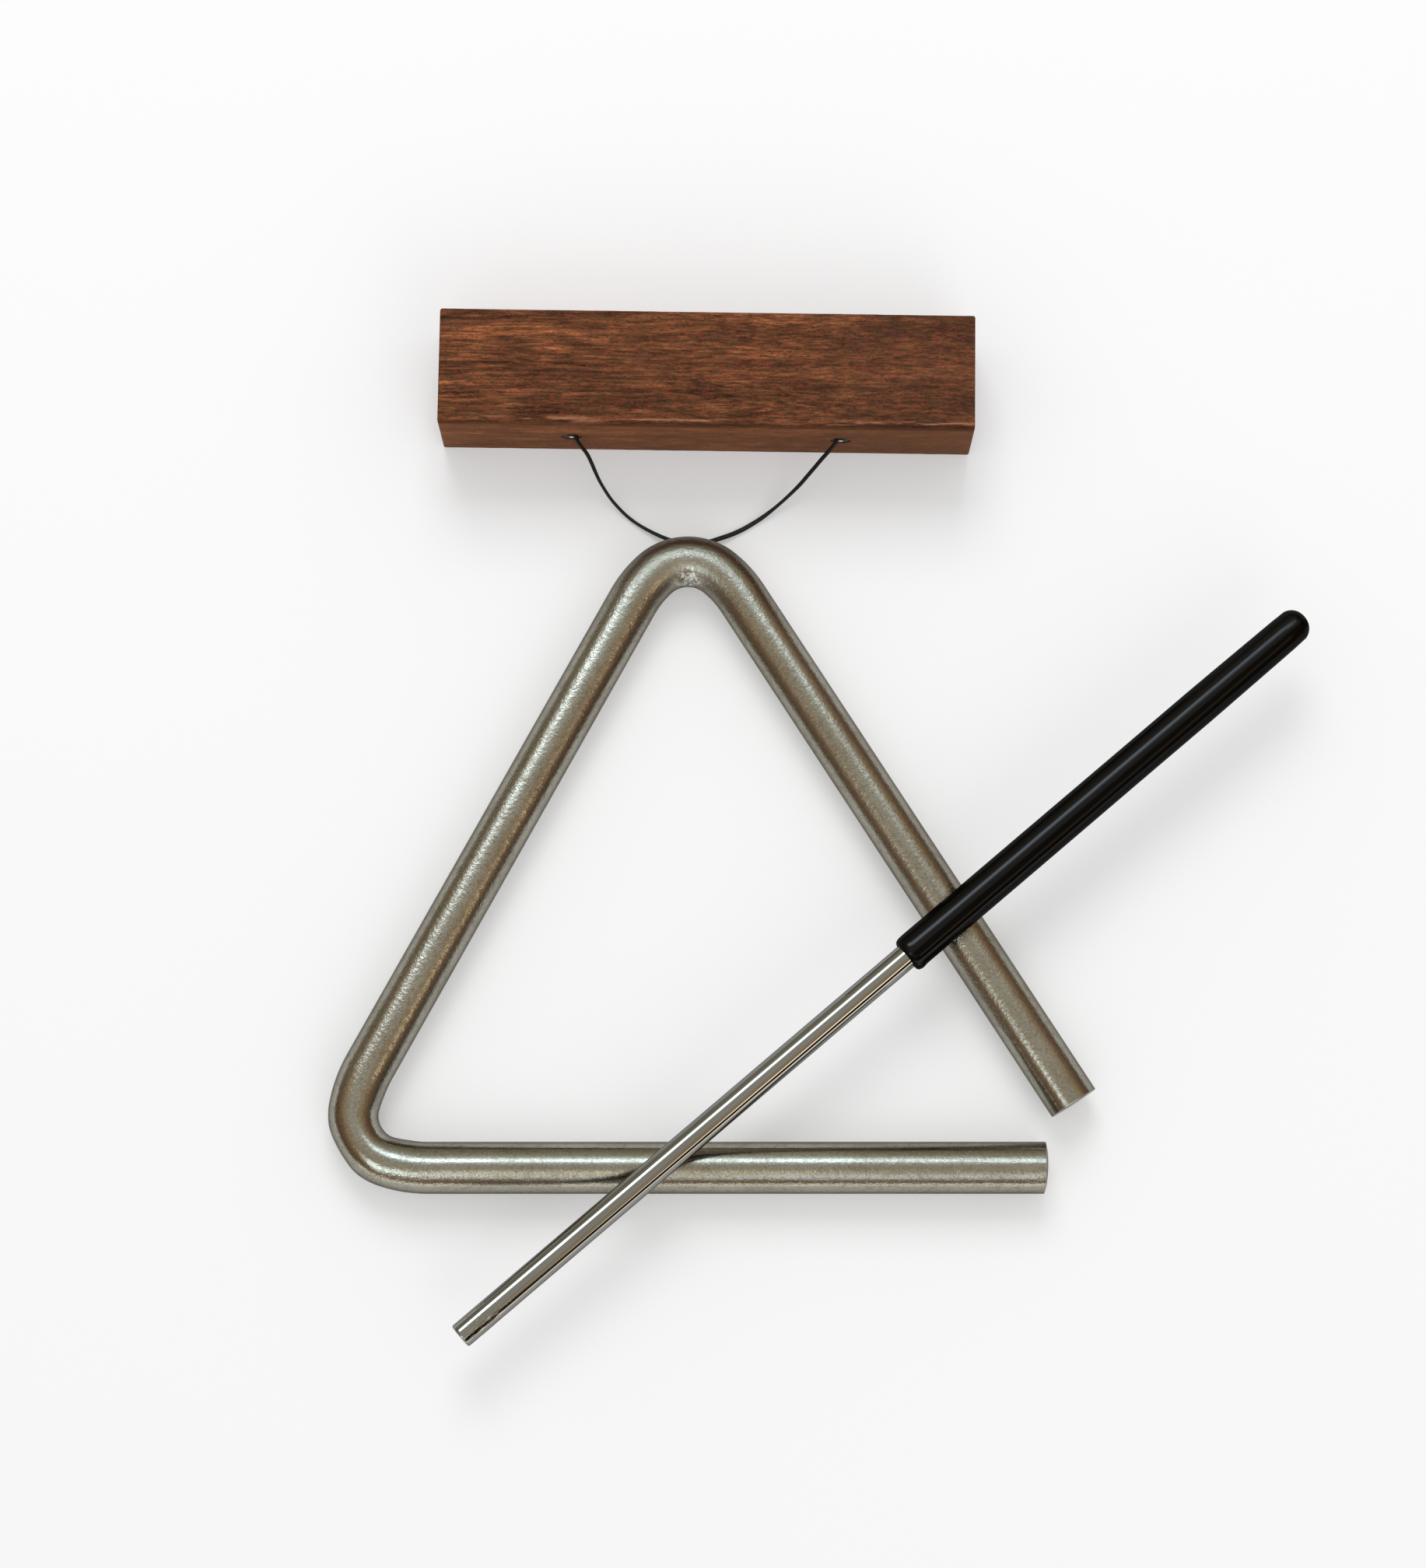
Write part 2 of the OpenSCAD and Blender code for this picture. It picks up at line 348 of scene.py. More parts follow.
def finishBarEnds(piece, facts, bottomEnd, rightEnd, level):
    # the plain cut ends have a narrow broken edge
    pick(piece, "FACE", isDisc)
    bpy.ops.mesh.bevel(offset=facts["brokenEdge"] * mm, segments=3, profile=0.6, affect="EDGES")
    reach = facts["endReach"] * mm
    for end, bulge in zip((bottomEnd, rightEnd), facts["endBulge"]):
        pick(piece, "FACE", lambda face: isDisc(face) and (face.calc_center_median() - end).length < reach)
        for width, share in facts["bulgeInsets"]:
            bpy.ops.mesh.inset(thickness=width * mm, depth=bulge * share * mm)
    cut = bottomEnd + level
    depth = facts["leanDepth"] * mm
    pick(piece, "VERT", lambda v: v.co.x > cut.x - depth and (v.co - cut).length < reach)
    bpy.ops.transform.rotate(value=radians(facts["endLean"]), orient_axis="Z", orient_type="GLOBAL",
                             center_override=tuple(cut))


def squeezeCorner(piece, facts, corner):
    bisector = heading(facts["cornerAngle"] / 2).normalized()
    across = Vector((-bisector.y, bisector.x, 0))
    apex = corner + bisector * facts["squeezePlace"] * mm
    through, along = (half * mm for half in facts["squeezeHalf"])
    frameTurn = Matrix((bisector, across, Vector((0, 0, 1)))).transposed()
    pick(piece, "VERT", lambda v: abs((v.co - apex).dot(across)) < along
         and abs((v.co - apex).dot(bisector)) < through)
    bpy.ops.transform.resize(value=(facts["squeeze"], 1, 1), orient_type="GLOBAL",
                             orient_matrix=frameTurn, orient_matrix_type="GLOBAL",
                             constraint_axis=(True, False, False), center_override=tuple(apex),
                             use_proportional_edit=True, proportional_edit_falloff="SMOOTH",
                             proportional_size=facts["squeezeFade"] * mm)


def makeBar(facts):
    r = facts["diameter"] / 2 * mm
    level = Vector((0, 0, r))
    rightHeading = 180 + facts["cornerAngle"] + facts["crownAngle"]
    crown = Vector((*facts["crown"], 0)) * mm
    corner = lowerCorner(facts) * mm
    bottomEnd = corner + heading(0) * facts["bottomLeg"] * mm
    rightEnd = crown + heading(rightHeading) * facts["rightLeg"] * mm
    place, direction = bottomEnd + level, heading(180)
    addDisc(place, direction, r, facts["sides"])
    piece = openPiece("triangleBar")
    for legEnd, wide, tight, angle in (
        (corner, facts["cornerWide"], facts["cornerTight"], facts["cornerAngle"]),
        (crown, facts["crownWide"], facts["crownTight"], facts["crownAngle"]),
    ):
        wideRadius, wideTurn = wide[:2]
        stop = legEnd + level - direction * bendSetback(wideRadius, wideTurn, tight, angle) * mm
        pull(stop - place)
        place = stop
        middle = (tight, 180 - angle - 2 * wideTurn, facts["tightRings"])
        for radius, turn, rings in (wide, middle, wide):
            place, direction = spinArc(place, direction, radius * mm, turn, rings)
    pull(rightEnd + level - place)
    mergePoints()
    finishBarEnds(piece, facts, bottomEnd, rightEnd, level)
    squeezeCorner(piece, facts, corner + level)
    fold = Vector(facts["wrinkle"]) * mm
    pick(piece, "VERT", lambda v: (v.co - fold).length < facts["wrinkleReach"] * mm)
    bpy.ops.transform.vertex_random(offset=facts["wrinkleHeight"] * mm, uniform=0.2, normal=0.5, seed=11)
    closePiece(piece)
    return piece


barPiece = makeBar(bar)
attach(barPiece, "triangle")
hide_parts("triangle_bar")
print("bar bent")

# the wooden holder
holder = {
    "size": (100, 22, 19),
    "turn": holderTurn,
    "edge": 0.4,
    "frontEdge": 0.9,  # the long edge that the hand rubs
    "edgeBand": 0.1,  # what counts as lying on an edge
    "cuts": 70,
    "unevenness": 0.035,  # sanded by hand, so the long edges wander a little
    "wanderInset": 0.12,
    "wanderBand": (0.7, 0.1),
    "holes": (-25.35, 25.35),
    "holeRadius": 1.9,
    "holeDepth": 14,
    "holeSides": 40,
    "drillRun": 1,  # the drill starts this far off the wood
}


def holderFrame(facts):
    # the solid block gives the place
    turn = Matrix.Rotation(radians(facts["turn"]), 3, "Z")
    low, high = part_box("holder_block")
    return turn, (Vector(low) + Vector(high)) / 2


def drillHole(piece, mouth, into, facts):
    addDisc(mouth, into, facts["holeRadius"] * mm, facts["holeSides"])
    drill = openPiece("drill")
    pull(into * (facts["holeDepth"] + facts["drillRun"]) * mm)
    turnOut()
    mode("OBJECT")
    deselect()
    piece.select_set(True)
    bpy.context.view_layer.objects.active = piece
    cut = piece.modifiers.new("drill", "BOOLEAN")
    cut.operation = "DIFFERENCE"
    cut.object = drill
    bpy.ops.object.modifier_apply(modifier=cut.name)
    bpy.data.objects.remove(drill)


def makeHolder(facts):
    turn, middle = holderFrame(facts)
    size = (Vector(facts["size"]) - Vector((1, 1, 1)) * facts["unevenness"] * 2) * mm
    deselect()
    bpy.ops.mesh.primitive_cube_add(size=1, location=middle, rotation=(0, 0, radians(facts["turn"])),
                                    scale=size)
    piece = openPiece("holderBlock")
    along = turn @ Vector((1, 0, 0))
    local = turn.inverted()

    def spot(point):
        return local @ (point - middle)

    def runsAlong(edge):
        return abs((edge.verts[0].co - edge.verts[1].co).normalized().dot(along)) > 0.99

    def corner(edge):
        return edge.calc_face_angle(0) > radians(60)

    def rubbed(edge):
        band = facts["edgeBand"] * mm
        ends = [spot(v.co) for v in edge.verts]
        return corner(edge) and all(p.y < -size.y / 2 + band and p.z > size.z / 2 - band for p in ends)

    pick(piece, "EDGE", runsAlong)
    bpy.ops.mesh.subdivide(number_cuts=facts["cuts"])
    pick(piece, "EDGE", rubbed)
    bpy.ops.mesh.bevel(offset=facts["frontEdge"] * mm, segments=4, profile=0.5, affect="EDGES")
    pick(piece, "EDGE", corner)
    bpy.ops.mesh.bevel(offset=facts["edge"] * mm, segments=3, profile=0.5, affect="EDGES")
    reach = size / 2 - Vector((1, 1, 1)) * facts["wanderInset"] * mm
    inner, outer = (band * mm for band in facts["wanderBand"])

    def wanders(v):
        # what lies inside every face, and what lies by two faces or more
        away = [abs(c) - limit for c, limit in zip(spot(v.co), reach)]
        return sum(d > 0 for d in away) == 0 or sum(-inner < d < outer for d in away) > 1

    pick(piece, "VERT", wanders)
    bpy.ops.transform.vertex_random(offset=facts["unevenness"] * mm, uniform=0.3, normal=0.0, seed=7)
    turnOut()
    mode("OBJECT")
    deselect()
    for place in facts["holes"]:
        mouth = middle + turn @ Vector((place * mm, -size.y / 2 - facts["drillRun"] * mm, 0))
        drillHole(piece, mouth, turn @ Vector((0, 1, 0)), facts)
    mode("EDIT")
    closePiece(piece, 30)
    return piece


holderPiece = makeHolder(holder)
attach(holderPiece, "holder")
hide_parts("holder_block")
print("holder sawn and drilled")

# the glue in the holder's two holes
glue = {
    "recess": 0.24,
    "depth": 13.9,
    "radius": 1.87,
    "sides": 40,
    # the bead is highest round its middle and dips to the wall: share of the radius, height
    "bead": ((0.97, 0.0), (0.88, 0.03), (0.72, 0.07), (0.5, 0.13), (0.32, 0.23), (0.2, 0.36), (0.11, 0.43),
             (0.04, 0.45)),
    "lean": -0.1,  # its top leans from the cord
    "lift": 0.03,  # and rises a little at each ring
}


def makeGlue(name, side, facts):
    turn, middle = holderFrame(holder)
    out = turn @ Vector((0, -1, 0))
    radius = facts["radius"] * mm
    bottom = middle + turn @ Vector((holder["holes"][side] * mm, -holder["size"][1] / 2 * mm
                                     + facts["depth"] * mm, 0))
    face = facts["depth"] - facts["recess"]
    addDisc(bottom, out, radius, facts["sides"])
    piece = openPiece(name)
    rings = [(face * mm, radius)]
    rings += [((face + height) * mm, share * radius) for share, height in facts["bead"]]
    outward = 1 if side else -1
    lean = turn @ Vector((outward * facts["lean"] * mm / len(rings), 0, facts["lift"] * mm))
    growRings(bottom, out, radius, rings, [Vector((0, 0, 0))] + [lean] * len(facts["bead"]))
    closePiece(piece, 60)
    return piece


for side, name in enumerate(("glueLeft", "glueRight")):
    gluePiece = makeGlue(name, side, glue)
    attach(gluePiece, "holder")
    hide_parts("glue_plug_right" if side else "glue_plug_left")
print("glue set")

# the beater, a steel rod in a dipped grip
beater = {
    "angle": 40.4,
    "cross": 64.2,  # where it crosses the bottom leg, from the lower corner
    "reach": 47.8,  # from there to its tip
    "length": 203.9,
    "clearance": 0.3,
    "rodDiameter": 4.7625,
    "sides": 64,
    "tipInset": 0.08,
    "tipEdge": 0.36,
    "stretches": (0.62, *(0.7,) * 13, 9, 23.2, 62),  # from the tip, close together where it is dented
    "dented": (1, 9),
    "dent": 0.035,
    "gripDiameter": 6.95,
    "gripEnd": 6.6,
    "gripLength": 97.6,
    "gripWall": 5,
    "gripInset": 0.1,
    "bore": 0.02,
    # the dip starts in a soft rolled lip: distance, how far it stands off the rod
    "lip": ((0.02, 0.25), (0.1, 0.45), (0.25, 0.68), (0.5, 0.88), (0.85, 1.0)),
    # it runs even: distance, how far it is short of the full radius
    "even": ((1.3, 0.03), (2.2, 0), (8, 0.01), (30, 0), (55, 0.02)),
    # and thins before its blunt round end: distance from the end, how far it is short
    "thinning": ((26, 0), (18, 0.06), (10, 0.13)),
    "endStart": 5.2,
    "endRound": (0.96, 0.86),  # length by radius, power
    "endSag": -0.01,
    # a small fold hangs on the lip's lower side
    "fold": (0.9, 0.3, 0.8),  # along, in from the side, up
    "foldReach": 0.75,
    "foldHang": (0.16, 0.22),
    "foldFade": 1.1,
    "foldRough": 0.09,
}


def beaterAxis(facts):
    # it lies on the bottom leg and the right leg, and tilts a little since its grip is thicker
    crossing = lowerCorner(bar) + heading(0) * facts["cross"]
    across = heading(180 + bar["cornerAngle"] + bar["crownAngle"] + 90)
    flat = heading(facts["angle"])
    span = (Vector((*bar["crown"], 0)) - crossing).dot(across) / flat.dot(across)
    rise = (facts["gripDiameter"] - facts["rodDiameter"]) / 2
    tilt = asin(rise / span)
    along = flat * cos(tilt) + Vector((0, 0, sin(tilt)))
    crossing.z = bar["diameter"] + facts["clearance"] + facts["rodDiameter"] / 2 / cos(tilt)
    side = Vector((along.y, -along.x, 0)).normalized()
    return (crossing - along * facts["reach"]) * mm, along, side, tilt


def makeRod(facts):
    tip, along, side = beaterAxis(facts)[:3]
    r = facts["rodDiameter"] / 2 * mm
    addDisc(tip + along * facts["tipInset"] * mm, along, r, facts["sides"])
    piece = openPiece("beaterRod")
    for stretch in facts["stretches"]:
        pull(along * stretch * mm)
    drawn = facts["tipInset"] + sum(facts["stretches"])
    pull(along * (facts["length"] - facts["gripWall"] - drawn) * mm)
    turnOut()
    pick(piece, "FACE", lambda face: isDisc(face) and (face.calc_center_median() - tip).dot(along) < mm)
    bpy.ops.mesh.bevel(offset=facts["tipEdge"] * mm, segments=4, profile=0.5, affect="EDGES")
    # small dents where the tip has struck
    down = side + Vector((0, 0, 0.9))
    first, last = (end * mm for end in facts["dented"])

    def struck(v):
        reach = (v.co - tip).dot(along)
        return first < reach < last and (v.co - tip - along * reach).dot(down) > 0.9 * r

    pick(piece, "VERT", struck)
    bpy.ops.transform.vertex_random(offset=facts["dent"] * mm, uniform=0.0, normal=1.0, seed=5)
    closePiece(piece)
    return piece


def gripRings(facts):
    rod = facts["rodDiameter"] / 2
    full = facts["gripDiameter"] / 2
    end = facts["gripEnd"] / 2
    length = facts["gripLength"] - facts["gripInset"]
    rings = [(distance, rod + off) for distance, off in facts["lip"]]
    rings += [(distance, full - short) for distance, short in facts["even"]]
    rings += [(length - distance, full - short) for distance, short in facts["thinning"]]
    rings.append((length - facts["endStart"], end))
    straight = len(rings)
    longer, power = facts["endRound"]
    for angle in range(15, 90, 10):
        a = radians(angle)
        rings.append((length - end * longer + end * longer * sin(a), end * cos(a) ** power))
    rings.append((length, end * 0.05))
    return rings, straight


def makeGrip(facts):
    tip, along, side = beaterAxis(facts)[:3]
    start = tip + along * (facts["length"] - facts["gripLength"]) * mm
    bore = facts["rodDiameter"] / 2 + facts["bore"]
    rings, straight = gripRings(facts)
    still, sag = Vector((0, 0, 0)), side * facts["endSag"] * mm
    shifts = [still] * straight + [sag] * (len(rings) - straight - 1) + [still]
    addDisc(start, along, bore * mm, facts["sides"])
    piece = openPiece("beaterGrip")
    growRings(start, along, bore * mm, [(d * mm, r * mm) for d, r in rings], shifts)
    onward, inward, up = facts["fold"]
    drop = (start + along * onward * mm + side * (facts["gripDiameter"] / 2 - inward) * mm
            + Vector((0, 0, up * mm)))
    pick(piece, "VERT", lambda v: (v.co - drop).length < facts["foldReach"] * mm)
    sideways, back = facts["foldHang"]
    bpy.ops.transform.translate(value=tuple((side * sideways - along * back) * mm),
                                use_proportional_edit=True, proportional_edit_falloff="SMOOTH",
                                proportional_size=facts["foldFade"] * mm)
    bpy.ops.transform.vertex_random(offset=facts["foldRough"] * mm, uniform=0.2, normal=0.6, seed=3)
    closePiece(piece, 50)
    return piece


rodPiece = makeRod(beater)
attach(rodPiece, "beater")
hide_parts("beater_rod")
gripPiece = makeGrip(beater)
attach(gripPiece, "beater")
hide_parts("beater_grip")
print("beater made")


# shader maths as plain expressions, where every operator adds its Math node
def operator(operation, turned=False):
    if turned:
        return lambda self, other: self.math(operation, other, self)
    return lambda self, *others: self.math(operation, self, *others)


class Wire:
    __add__, __radd__ = operator("ADD"), operator("ADD", turned=True)
    __sub__, __rsub__ = operator("SUBTRACT"), operator("SUBTRACT", turned=True)
    __mul__, __rmul__ = operator("MULTIPLY"), operator("MULTIPLY", turned=True)
    __truediv__ = operator("DIVIDE")
    __pow__ = operator("POWER")
    __abs__ = operator("ABSOLUTE")
    atLeast = operator("MAXIMUM")
    atMost = operator("MINIMUM")

    def __init__(self, paint, socket):
        self.paint = paint
        self.socket = socket

    def math(self, operation, *values):
        return self.paint.node("ShaderNodeMath", {"operation": operation}, dict(enumerate(values)))


class Paint:
    def __init__(self, tree):
        self.tree = tree
        self.surface = tree.nodes.get("Principled BSDF")

    def node(self, kind, settings=None, sockets=None, out=0):
        item = self.tree.nodes.new(kind)
        for key, value in (settings or {}).items():
            if key == "stops":
                while len(item.color_ramp.elements) < len(value):
                    item.color_ramp.elements.new(0.5)
                for stop, (place, colour) in zip(item.color_ramp.elements, value):
                    stop.position = place
                    stop.color = (*colour, 1)
            else:
                setattr(item, key, value)
        for key, value in (sockets or {}).items():
            if isinstance(value, Wire):
                self.tree.links.new(value.socket, item.inputs[key])
            else:
                item.inputs[key].default_value = value
        return Wire(self, item.outputs[out])

    def outputs(self, wire, *names):
        return [Wire(self, wire.socket.node.outputs[name]) for name in names]

    def split(self, spot):
        return self.outputs(self.node("ShaderNodeSeparateXYZ", {}, {0: spot}), "X", "Y", "Z")

    def place(self, location=(0, 0, 0), rotation=(0, 0, 0)):
        # coordinates from a piece's own middle, along its own lines
        spot = self.node("ShaderNodeTexCoord", out="Object")
        return self.node("ShaderNodeMapping", {"vector_type": "TEXTURE"},
                         {"Vector": spot, "Location": location, "Rotation": rotation})

    def noise(self, spot, scale, detail, roughness, *shows):
        sockets = {"Vector": spot, "Scale": scale, "Detail": detail, "Roughness": roughness}
        value = self.node("ShaderNodeTexNoise", {}, sockets, out="Fac")
        return self.rise(value, *shows) if shows else value

    def grain(self, spot, perMetre, shift, *settings):
        # a noise that is drawn out along the piece
        drawn = self.node("ShaderNodeMapping", {"vector_type": "POINT"},
                          {"Vector": spot, "Location": shift, "Scale": perMetre})
        return self.noise(drawn, 1, *settings)

    def rise(self, value, low, high, bottom=0.0, top=1.0):
        return self.node("ShaderNodeMapRange", {"interpolation_type": "SMOOTHSTEP"},
                         {0: value, 1: low, 2: high, 3: bottom, 4: top})

    def zone(self, value, ends, bottom=0.0, top=1.0):
        # rises from one place in mm to the other
        return self.rise(value, ends[0] * mm, ends[1] * mm, bottom, top)

    def mix(self, factor, a, b):
        a, b = (colour if isinstance(colour, Wire) else (*colour, 1) for colour in (a, b))
        return self.node("ShaderNodeMix", {"data_type": "RGBA"}, {0: factor, 6: a, 7: b}, out=2)

    def near(self, spot, place, reach, core):
        # 1 within the core of a place in mm, 0 past the reach
        away = self.node("ShaderNodeVectorMath", {"operation": "DISTANCE"},
                         {0: spot, 1: tuple(c * mm for c in place)}, out="Value")
        return self.zone(away, (reach, core))

    def bump(self, height, strength, distance):
        return self.node("ShaderNodeBump", {},
                         {"Strength": strength, "Distance": distance * mm, "Height": height}, out="Normal")

    def feed(self, **links):
        for key, value in links.items():
            self.tree.links.new(value.socket, self.surface.inputs[key.replace("_", " ")])


def linear(r, g, b):
    # from a colour on screen, 0 to 255, to what a shader takes
    return tuple(((c / 255 + 0.055) / 1.055) ** 2.4 if c > 10 else c / 255 / 12.92 for c in (r, g, b))


def weigh(values, shares):
    first, *others = [value * share for value, share in zip(values, shares)]
    return sum(others, first)


def newFinish(pieces, name, **constants):
    material = bpy.data.materials.new(name)
    material.use_nodes = True
    paint = Paint(material.node_tree)
    for key, value in constants.items():
        paint.surface.inputs[key.replace("_", " ")].default_value = value
    for piece in pieces:
        piece.data.materials.clear()
        piece.data.materials.append(material)
    return paint


# Below, an even noise is given as cells per metre, detail, roughness and, where there are two more, from
# which value it shows and from which wholly. A grain is the same with its cells per metre each way and a
# shift, and a bump is given as strength and height in mm.
barFinish = {
    "light": (0.345, 0.332, 0.282),
    "dull": (0.258, 0.236, 0.187),
    "fleck": (0.25, 0.17, 0.115),
    # paler flecks painted as glints, and the crown's creases painted as highlights
    "glintFleck": (0.52, 0.54, 0.53),
    "creaseHighlight": (0.8, 0.84, 0.82),
    "edgeTint": (0.35, 0.35, 0.35, 1),
    "roughness": (0.14, 0.28),
    "roughShares": (0.4, 0.6),  # by the fine grain, by the dull patches
    "roughCrown": 0.13,
    "roughLoss": 0.05,  # where the leg was drawn smooth
    "bump": (1.0, 0.095),
    "pebble": (1500, 3, 0.62),
    "fine": (3450, 2, 0.55),
    "patches": (90, 3, 0.55, 0.35, 0.68),
    "spots": (900, 3, 0.65, 0.5, 0.64),
    "rust": (2600, 2, 0.6, 0.55, 0.68),
    "glintFlecks": ((2900, 2900, 2900), (3.3, 1.1, 8.2), 2, 0.6, 0.57, 0.7),
    "folds": ((1500, 520, 1100), (0, 0, 0), 3, 0.6),
    "streaks": ((70, 1700, 1700), (0, 0, 0), 3, 0.6),
    "foldsShow": (0.48, 0.6),
    "dullShares": (0.45, 0.55),  # patches, spots
    "relief": (0.58, 0.3, 0.25),  # pebble, fine, more pebble where it is bent
    "pressedRelief": (0.9, 0.25),  # folds, streaks
    "rustShare": 0.55,
    "glintShares": (0.3, 0.3),  # everywhere, more where it is bent
    "crownShare": 0.3,
    "creaseHighlightShare": 0.85,
    # places in mm from where two middle lines meet, and their fades: reach, core
    "crownBend": (0, -14, 5),
    "cornerBend": (12, 7, 5),
    "bendFade": (20, 9),
    "crownTop": (0, -6, 5),
    "topFade": (22, 8),
    "foldFade": (3.2, 1.2),
    # drawn streaks show by the cut ends
    "streaksFrom": (12, 36),
    "streaksBelow": (-56, -58.5),
    # the bottom leg was drawn smoother than the others, but for its lower edge
    "smoothBelow": (-57, -36),
    "smoothShare": 0.4,
    "lowerEdge": (-62.8, -64.5),
    "edgeShare": 0.5,
}


def paintBar(pieces, facts):
    paint = newFinish(pieces, "satinPlate", Metallic=1.0, Specular_Tint=facts["edgeTint"])
    spot = paint.place()
    x, y = paint.split(spot)[:2]

    def by(corner, offset, fade):
        return paint.near(spot, tuple(Vector((*corner, 0)) + Vector(offset)), *fade)

    pebble, fine, patches, spots, rust = [
        paint.noise(spot, *facts[name]) for name in ("pebble", "fine", "patches", "spots", "rust")]
    folds, streaks, glintFlecks = [paint.grain(spot, *facts[name]) for name in ("folds", "streaks", "glintFlecks")]
    dull = weigh((patches, spots), facts["dullShares"])
    # the grain opens where the bar is bent, and is worst pressed inside the crown
    bent = by(bar["crown"], facts["crownBend"], facts["bendFade"])
    bent = bent.atLeast(by(lowerCorner(bar).to_2d(), facts["cornerBend"], facts["bendFade"]))
    pressed = paint.near(spot, bar["wrinkle"], *facts["foldFade"])
    byEnd = paint.zone(x, facts["streaksFrom"]) * paint.zone(y, facts["streaksBelow"])
    coarse = (paint.zone(y, facts["smoothBelow"], facts["smoothShare"])
              + paint.zone(y, facts["lowerEdge"], 0.0, facts["edgeShare"]))
    stretched = by(bar["crown"], facts["crownTop"], facts["topFade"])  # the crown is the dullest
    height = (weigh((pebble, fine, pebble * bent), facts["relief"]) * coarse
              + weigh((folds * pressed, streaks * byEnd), facts["pressedRelief"]))
    colour = paint.mix(dull, facts["light"], facts["dull"])
    colour = paint.mix(rust * facts["rustShare"], colour, facts["fleck"])
    # painted glints: paler flecks all over the bar, more where it is bent
    even, more = facts["glintShares"]
    colour = paint.mix(glintFlecks * (even + bent * more), colour, facts["glintFleck"])
    colour = paint.mix(stretched * facts["crownShare"], colour, facts["dull"])
    # painted highlight: the creases inside the crown are painted near white
    creaseHighlights = pressed * paint.rise(folds, *facts["foldsShow"])
    colour = paint.mix(creaseHighlights * facts["creaseHighlightShare"], colour, facts["creaseHighlight"])
    smooth, rough = facts["roughness"]
    paint.feed(
        Base_Color=colour,
        Roughness=(smooth + (rough - smooth) * weigh((fine, dull), facts["roughShares"])
                   + stretched * facts["roughCrown"] - (1 - coarse) * facts["roughLoss"]),
        Normal=paint.bump(height, *facts["bump"]))


woodFinish = {
    "dark": linear(52, 31, 22),
    "brown": linear(87, 54, 37),
    "middle": linear(112, 71, 46),
    "light": linear(144, 89, 58),
    "orange": linear(176, 107, 66),
    # pale of the rubbed front edge, partly a painted highlight
    "pale": linear(196, 138, 104),
    # painted shade toward the right end, also the colour of the greyer mottles
    "shadow": linear(70, 48, 38),
    "red": linear(132, 66, 50),
    "olive": linear(84, 66, 42),
    "lowerSide": linear(146, 97, 64),
    # painted shade inside the drilled holes
    "boreShade": linear(98, 64, 45),
    "tones": ((0.30, "dark"), (0.42, "brown"), (0.5, "middle"), (0.58, "light"), (0.67, "orange"),
              (0.78, "pale")),
    "roughness": (0.6, 0.12),
    "bump": (0.6, 0.06),
    "relief": (0.6, -0.7),  # fibres, pores
    "sway": (2.2, 1.6),  # how far the fibres wander, up and through the block
    "wander": ((30, 90, 90), (0, 0, 0), 2, 0.5),
    "longFibre": ((125, 1600, 1600), (0, 0, 0), 4, 0.64),
    "shortFibre": ((300, 2000, 2000), (3.1, 7.7, 1.3), 4, 0.6),
    "bands": ((22, 240, 240), (0.7, 1.9, 4.2), 3, 0.55),
    "blotch": ((90, 330, 330), (5.2, 0.4, 2.8), 3, 0.55),
    "pores": ((330, 3600, 3600), (9.1, 2.2, 6.4), 1, 0.5, 0.61, 0.68),
    "mottle": ((150, 420, 420), (2.4, 8.8, 3.9), 3, 0.6),
    "grains": ((1100, 2600, 2600), (4.4, 6.1, 0.9), 2, 0.6),
    "specks": ((1500, 3300, 3300), (7.3, 0.6, 5.5), 1, 0.5),
    "dashes": ((130, 1500, 900), (1.7, 3.3, 0.2), 3, 0.6, 0.5, 0.63),
    "toneShares": (0.5, 0.26, 0.24),  # fibres, bands, blotches
    "toneSpread": (1.5, 0.2),  # everywhere, more at the left
    "toneMiddle": 0.485,
    # small spots: grain, from which value it shows, from which wholly, share, colour
    "spots": (("mottle", 0.5, 0.68, 0.45, "shadow"), ("grains", 0.53, 0.66, 0.6, "red"),
              ("grains", 0.46, 0.34, 0.6, "olive"), ("specks", 0.54, 0.68, 0.45, "dark")),
    # places in mm from the middle, the lower side, the front, the back or the ends
    "leftward": (12, -32),
    "shadeRightward": (10, 35),
    "lowerSkin": (0.36, 0.09),
    "endSkin": (-0.16, -0.08),
    "rubbedHighlightUp": (1.7, 0.9),
    "rubbedHighlightIn": (-0.5, -0.1),
    "shadeUnderUp": (1.0, 0.35),
    "shadeUnderIn": (-2.2, -1.0),
    "boreWall": (2.02, 1.93),
    "boreDepth": (-2, -4),
    "boreMouth": (-0.3, 0.12),
    "shares": {"right": 0.5, "pores": 0.6, "lowerSkin": 0.3, "endSkin": 0.35, "rubbed": 0.6, "under": 0.5},
}


def holderSpot(paint):
    middle = holderFrame(holder)[1]
    return paint.place(tuple(middle), (0, 0, radians(holder["turn"])))


